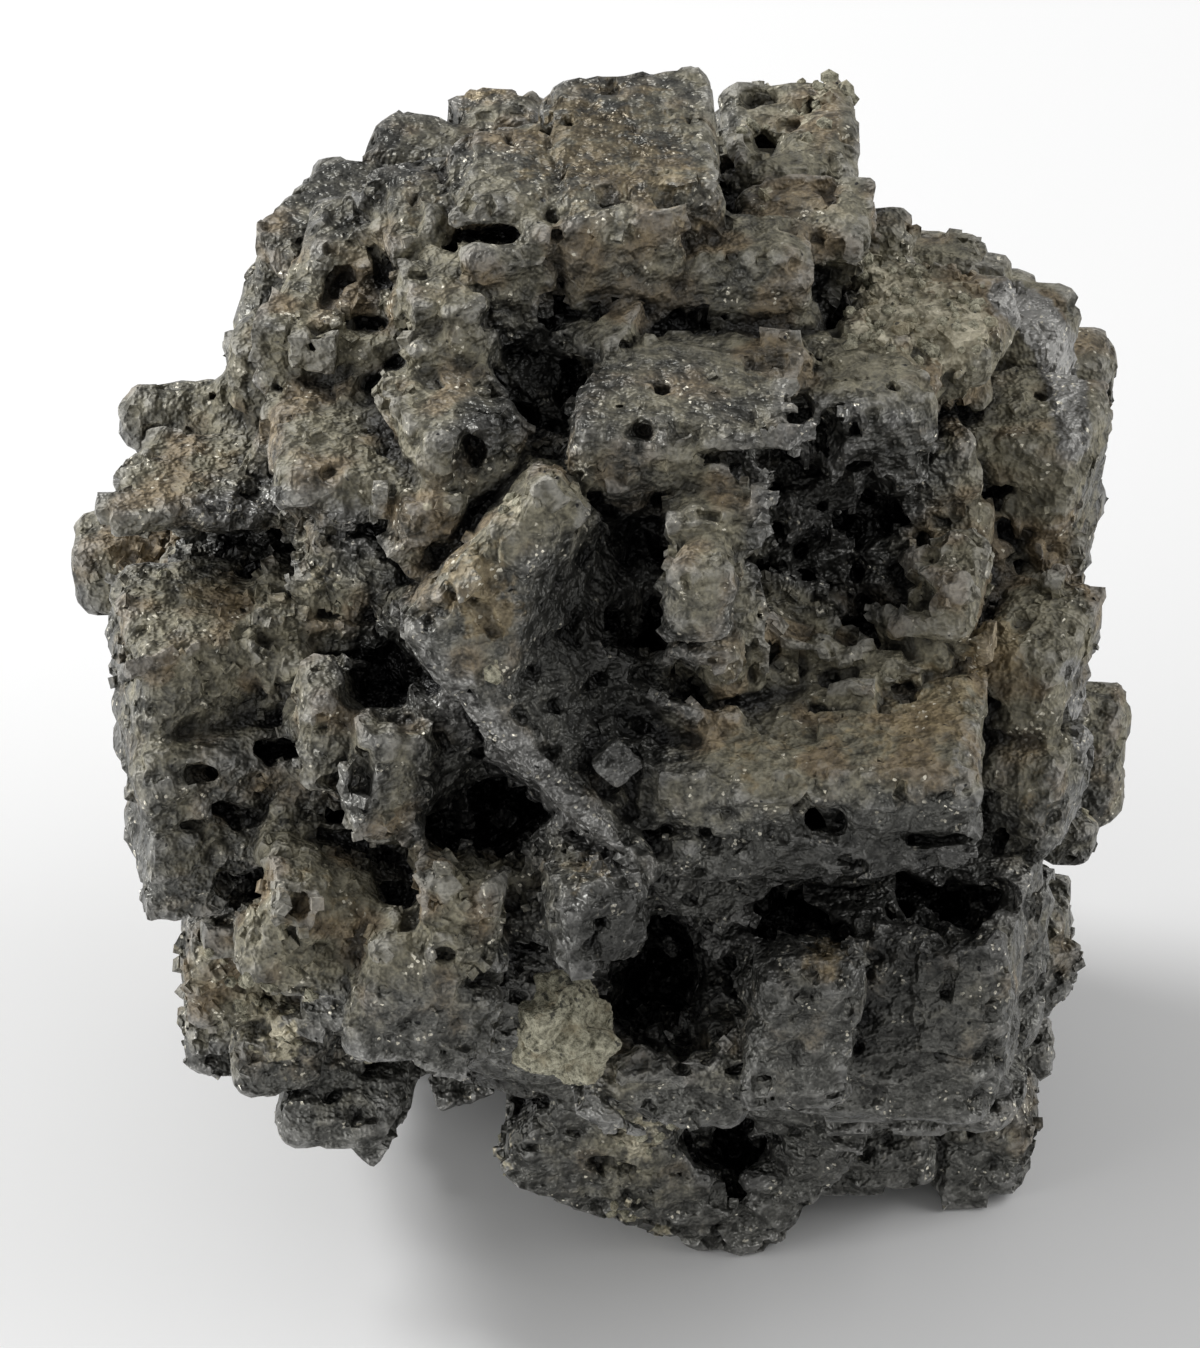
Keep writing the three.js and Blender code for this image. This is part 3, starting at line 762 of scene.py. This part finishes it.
arsenic = Finish("tarnished_arsenic")
shelter = arsenic.stored("shelter")
dust_and_shade = arsenic.stored("dust_and_shade")
stands_out = arsenic.stored("stands_out")
rim = arsenic.stored("polish_and_highlight")
patchy = arsenic.cloudy(1.2, roughness=0.65)
lumps = arsenic.cloudy(0.34, roughness=0.65)
speckle = arsenic.cloudy(0.07, detail=1.0, roughness=0.6)
tone = (lumps * 0.75 + speckle * 0.25).between(0.3, 0.7)

# Dark tarnish, with grey-brown dust on what looks up; its lighter colour there is partly painted top
# light, and it thins in sheltered hollows as painted shade.
polish_and_highlight = (rim + (lumps - 0.5) * 1.2).between(0.25, 0.8)
dust_and_painted_light = arsenic.stored("faces_up") * 0.8 + dust_and_shade * 0.9 + (patchy - 0.5) * 2.0 + (lumps - 0.5) * 0.8
dust_and_painted_light = (dust_and_painted_light + (speckle - 0.5) * 0.3).between(-0.15, 0.85)
# Less dust in sheltered hollows leaves them darker: painted shade.
dust_and_painted_light = dust_and_painted_light * (1 - shelter.between(0.35, 0.9) * 0.7) * (1 - polish_and_highlight * 0.8)
ground = tone.blend(shade(0.044, 0.044, 0.039), shade(0.188, 0.186, 0.168))
coat = tone.blend(shade(0.1, 0.093, 0.066), shade(0.315, 0.289, 0.204))
brown = arsenic.cloudy(1.5, detail=1.0).between(0.48, 0.62) * 0.75
coat = brown.blend(coat, tone.blend(shade(0.1, 0.072, 0.041), shade(0.32, 0.237, 0.138)))
colour = dust_and_painted_light.blend(ground, coat)

# Lighter, bare arsenic on worn edges and polished rims, with near-white painted highlights where the
# polish is strongest.
bright = (stands_out + (lumps - 0.5) * 2.0).between(0.35, 1.1) * 0.5
colour = bright.blend(colour, shade(0.36, 0.355, 0.34))
colour = (polish_and_highlight * 0.7).blend(colour, tone.blend(shade(0.16, 0.157, 0.15), shade(0.34, 0.335, 0.32)))
# Painted highlight: near-white streaks where the polish is strongest.
edge_highlight = (rim + (speckle - 0.5) * 1.2).between(1.0, 1.5)
colour = (edge_highlight * 0.35).blend(colour, shade(0.68, 0.67, 0.64))

# Ochre stains and pale crust; the crust's pale colour also paints three small highlights on crystal tips.
spots = arsenic.cloudy(0.4, roughness=0.7)
ochre_mask = (arsenic.stored("ochre") + (spots - 0.5) * 1.8).between(0.35, 0.8)
cream_and_highlight_mask = (arsenic.stored("cream_and_highlights") + (spots - 0.5) * 2.0).between(0.5, 0.8)
colour = (ochre_mask * 0.6).blend(colour, tone.blend(shade(0.15, 0.108, 0.05), shade(0.42, 0.325, 0.175)))
colour = cream_and_highlight_mask.blend(colour, tone.blend(shade(0.28, 0.25, 0.17), shade(0.62, 0.57, 0.43)))

# Painted shade: sheltered hollows, nooks and bare places are painted near-black for the shade in them,
# and tiny pores painted black for theirs; pale crust lessens it.
pore_shade = arsenic.cloudy(0.22, detail=1.0, roughness=0.6)
crevice = (0 - stands_out).between(0.05, 0.6)
unshaded = (1 - shelter.between(0.15, 0.8) * 0.9) * (1 - (0 - dust_and_shade).between(0.0, 1.0) * 0.6)
painted_shade = 1 - unshaded * (1 - crevice * 0.7)
painted_shade = painted_shade * (1 - cream_and_highlight_mask * 0.7)
colour = painted_shade.blend(colour, shade(0.004, 0.004, 0.004))
# Painted shade of tiny pores.
colour = (1 - pore_shade.between(0.2, 0.27)).blend(colour, shade(0.006, 0.006, 0.006))

# Painted glints: single grains painted near-white, standing for fresh metal catching the light.
cell_tone = arsenic.node("ShaderNodeSeparateColor", {}, {"Color": arsenic.cells(0.065, output=1)})
sparkling = (arsenic.cloudy(0.7, detail=1.0) + polish_and_highlight * 0.08).between(0.54, 0.66)
glint = cell_tone.between(0.93, 0.97) * (1 - painted_shade) * sparkling
colour = (glint * 0.9).blend(colour, shade(0.9, 0.85, 0.7))

knobs = arsenic.cells(0.45) * 0.6 + lumps
arsenic.set(
    Base_Color=colour,
    Roughness=0.36 + dust_and_painted_light * 0.3 - glint * 0.1,
    Metallic=(1 - dust_and_painted_light) * 0.5,
    Normal=arsenic.bumped(knobs, depth=0.4),
)
thinned.materials.append(arsenic.material)
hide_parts("arsenic_crystals")
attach(crystals, "root")


# ---- Small crystals on the ball --------------------------------------------------------------------
# A crust of tiny arsenic crystals, mostly 0.1 to 0.4 mm long, that grew last, on the ledges and in the
# hollows. They are strewn over the ball's own skin, half sunk in it.

hollow = np.clip((sampled(far_matter, places) - 0.55) / 0.25, 0, 1)
strewn_crumbs = scattered(places, count=70, radii=(0.8, 1.8), seed=56)
crumbly = spread(CRUMBLY, places) + strewn_crumbs + 0.4 * hollow
crumbly *= np.clip(0.7 + 0.5 * sampled(broad, places), 0, 1.4)
CLEARANCE = 0.36  # mm, the least from a strewn piece's middle to the part's box
room = np.minimum(places - low_corner, high_corner - places).min(1)
room = np.clip((room - CLEARANCE) / 0.1, 0, 1)
store(thinned, "crumbly", np.clip(crumbly, 0, 1) * room)
store(thinned, "crusted", np.clip((cream_and_highlights - 0.25) / 0.6, 0, 1) * room)


def strewn(name, shape_node, attribute, finish, per_mm2, sizes, seed):
    """Small pieces of one shape, strewn over the ball where one of its stored values is high."""
    tree = bpy.data.node_groups.new(name, "GeometryNodeTree")
    face = tree.interface
    face.new_socket("Skin", in_out="INPUT", socket_type="NodeSocketGeometry")
    inputs = {
        "Pieces per square metre": ("NodeSocketFloat", per_mm2 * 1e6),
        "Least size": ("NodeSocketFloat", sizes[0] / 1000),
        "Most size": ("NodeSocketFloat", sizes[1] / 1000),
        "Seed": ("NodeSocketInt", seed),
        "Finish": ("NodeSocketMaterial", finish),
    }
    sockets = {
        label: face.new_socket(label, in_out="INPUT", socket_type=kind)
        for label, (kind, _) in inputs.items()
    }
    face.new_socket("Pieces", in_out="OUTPUT", socket_type="NodeSocketGeometry")

    add = functools.partial(add_node, tree)
    start = add("NodeGroupInput", {}, {}).outputs
    stored = add("GeometryNodeInputNamedAttribute", {"data_type": "FLOAT"}, {"Name": attribute})
    density = add(
        "ShaderNodeMath",
        {"operation": "MULTIPLY"},
        {0: stored.outputs["Attribute"], 1: start["Pieces per square metre"]},
    )
    points_on_skin = add(
        "GeometryNodeDistributePointsOnFaces",
        {},
        {"Mesh": start["Skin"], "Density": density.outputs[0], "Seed": start["Seed"]},
    )
    shaped = add(shape_node, {}, {})

    # Each piece has its own size, proportions and turn.
    size = add(
        "FunctionNodeRandomValue",
        {"data_type": "FLOAT"},
        {"Min": start["Least size"], "Max": start["Most size"], "Seed": start["Seed"]},
    )
    stretch = add(
        "FunctionNodeRandomValue",
        {"data_type": "FLOAT_VECTOR"},
        {"Min": (0.55, 0.55, 0.45), "Max": (1.3, 1.3, 1.1), "Seed": 7},
    )
    scale = add(
        "ShaderNodeVectorMath",
        {"operation": "SCALE"},
        {0: stretch.outputs[0], "Scale": size.outputs[1]},
    )
    turn = add(
        "FunctionNodeRandomValue",
        {"data_type": "FLOAT_VECTOR"},
        {"Min": (-0.5, -0.5, 0.0), "Max": (0.5, 0.5, 6.28), "Seed": 8},
    )
    twist = add("FunctionNodeEulerToRotation", {}, {0: turn.outputs[0]})
    turned = add(
        "FunctionNodeRotateRotation",
        {"rotation_space": "LOCAL"},
        {"Rotation": points_on_skin.outputs["Rotation"], "Rotate By": twist.outputs[0]},
    )
    placed = add(
        "GeometryNodeInstanceOnPoints",
        {},
        {
            "Points": points_on_skin.outputs["Points"],
            "Instance": shaped.outputs["Mesh"],
            "Rotation": turned.outputs[0],
            "Scale": scale.outputs[0],
        },
    )
    real = add("GeometryNodeRealizeInstances", {}, {"Geometry": placed.outputs[0]})
    dressed = add(
        "GeometryNodeSetMaterial", {}, {"Geometry": real.outputs[0], "Material": start["Finish"]}
    )
    add("NodeGroupOutput", {}, {"Pieces": dressed.outputs[0]})

    made = bpy.data.objects.new(name, thinned.copy())
    bpy.context.scene.collection.objects.link(made)
    growth = made.modifiers.new("growth", "NODES")
    growth.node_group = tree
    for label, (_, value) in inputs.items():
        growth[sockets[label].identifier] = value
    grown = bpy.data.meshes.new_from_object(
        made.evaluated_get(bpy.context.evaluated_depsgraph_get())
    )
    made.modifiers.remove(growth)
    made.data = grown
    return made


CRYSTALS_PER_MM2 = 11.0
CRYSTAL_SIDES = (0.06, 0.3)  # mm, before each is stretched
small_crystals = strewn(
    "small_crystals",
    shape_node="GeometryNodeMeshCube",
    attribute="crumbly",
    finish=arsenic.material,
    per_mm2=CRYSTALS_PER_MM2,
    sizes=CRYSTAL_SIDES,
    seed=3,
)
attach(small_crystals, "root")


# ---- Pale rock -------------------------------------------------------------------------------------
# Scraps of the cream-coloured rock that the arsenic grew in: one knobby grain wedged in the crevice
# under the middle crystal, and crumbs and sand of it left on the ledges.

rock = Finish("pale_rock")
rock_grain = rock.cloudy(0.16, detail=4.0, roughness=0.7)
rock_patch = rock.cloudy(0.8, detail=3.0, roughness=0.6)
rock_tone = rock_grain.between(0.28, 0.7)
rock_colour = rock_tone.blend(shade(0.1, 0.095, 0.06), shade(0.6, 0.57, 0.43))
rock_colour = (rock_patch.between(0.5, 0.7) * 0.6).blend(rock_colour, shade(0.22, 0.17, 0.09))
rock_specks = rock.cloudy(0.3, detail=3.0, roughness=0.6).between(0.58, 0.66)
rock_colour = (rock_specks * 0.85).blend(rock_colour, shade(0.03, 0.03, 0.025))
rock.set(Base_Color=rock_colour, Roughness=0.8, Normal=rock.bumped(rock_grain, depth=0.15))

stone = merged_copy(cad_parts["pale_rock_grain"])
for _ in range(4):
    bmesh.ops.subdivide_edges(stone, edges=stone.edges, cuts=1, use_grid_fill=True, smooth=0.4)
stone.normal_update()

# The rock's knobs and grain, in mm.
moved = []
for corner in stone.verts:
    broad_lift = mathutils.noise.fractal(corner.co * 0.9, 0.9, 2.1, 2)
    lump = mathutils.noise.voronoi(corner.co * 1.3)[0][0]
    fine_lift = mathutils.noise.turbulence(corner.co * 3.4, 4, True)
    lift = 0.22 * broad_lift - 0.55 * (lump - 0.3) - 0.14 * fine_lift
    moved.append(corner.co + corner.normal * lift)
for corner, place in zip(stone.verts, moved):
    corner.co = place * 0.001
stone_mesh = bpy.data.meshes.new("pale_grain")
stone.to_mesh(stone_mesh)
for polygon in stone_mesh.polygons:
    polygon.use_smooth = True
pale_grain = bpy.data.objects.new("pale_grain", stone_mesh)
bpy.context.scene.collection.objects.link(pale_grain)
stone_mesh.materials.append(rock.material)
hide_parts("pale_rock_grain")
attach(pale_grain, "root")

CRUMBS_PER_MM2 = 9.0
CRUMB_RADII = (0.05, 0.22)  # mm, before each is stretched
rock_crumbs = strewn(
    "rock_crumbs",
    shape_node="GeometryNodeMeshIcoSphere",
    attribute="crusted",
    finish=rock.material,
    per_mm2=CRUMBS_PER_MM2,
    sizes=CRUMB_RADII,
    seed=4,
)
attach(rock_crumbs, "root")


# ---- The floor, the light and the camera -----------------------------------------------------------
# A sheet of white paper under three large soft lamps, seen from the showing side, which looks up.

FLOOR = 1.5  # m from the middle to each side
floor_corners = [(-FLOOR, -FLOOR, 0), (FLOOR, -FLOOR, 0), (FLOOR, FLOOR, 0), (-FLOOR, FLOOR, 0)]
mesh = bpy.data.meshes.new("floor")
mesh.from_pydata(floor_corners, [], [(0, 1, 2, 3)])
floor = bpy.data.objects.new("floor", mesh)
bpy.context.scene.collection.objects.link(floor)
paper = bpy.data.materials.new("white_paper")
paper.use_nodes = True
paper_sockets = paper.node_tree.nodes["Principled BSDF"].inputs
paper_sockets["Base Color"].default_value = (0.86, 0.86, 0.86, 1)
paper_sockets["Roughness"].default_value = 0.8
mesh.materials.append(paper)


def lamp(name, place, aim, size, power):
    """A square soft light, in millimetres and watts."""
    data = bpy.data.lights.new(name, "AREA")
    data.size = size / 1000
    data.energy = power
    made = bpy.data.objects.new(name, data)
    bpy.context.scene.collection.objects.link(made)
    made.location = Vector(place) / 1000
    made.rotation_mode = "QUATERNION"
    made.rotation_quaternion = (Vector(aim) - Vector(place)).to_track_quat("-Z", "Y")


lamp("key", place=(-150, 90, 130), aim=(0, 0, 6), size=60, power=0.37)
lamp("window", place=(-215, -85, 60), aim=(0, 0, 4), size=190, power=0.3)
lamp("wall", place=(200, 0, 120), aim=(0, 0, 8), size=200, power=0.27)

world = bpy.data.worlds.new("studio")
bpy.context.scene.world = world
world.use_nodes = True
sky = world.node_tree.nodes["Background"].inputs
sky["Color"].default_value = (1, 1, 1, 1)
sky["Strength"].default_value = 0.35

CAMERA_FAR = 300  # mm
FRAME_HEIGHT = 30.29  # mm seen at the ball's middle
SENSOR = 36  # mm
camera_data = bpy.data.cameras.new("camera")
camera_data.sensor_width = SENSOR
camera_data.lens = SENSOR * CAMERA_FAR / FRAME_HEIGHT
camera_data.clip_start = 0.01
camera_data.clip_end = 5
camera = bpy.data.objects.new("camera", camera_data)
bpy.context.scene.collection.objects.link(camera)
aim = CENTRE - 0.2 * UP  # mm
camera.location = Vector(aim + OUT * CAMERA_FAR) / 1000
camera.rotation_mode = "QUATERNION"
camera.rotation_quaternion = Vector(-OUT).to_track_quat("-Z", "Y")
bpy.context.scene.camera = camera
bpy.context.scene.view_settings.view_transform = "Standard"
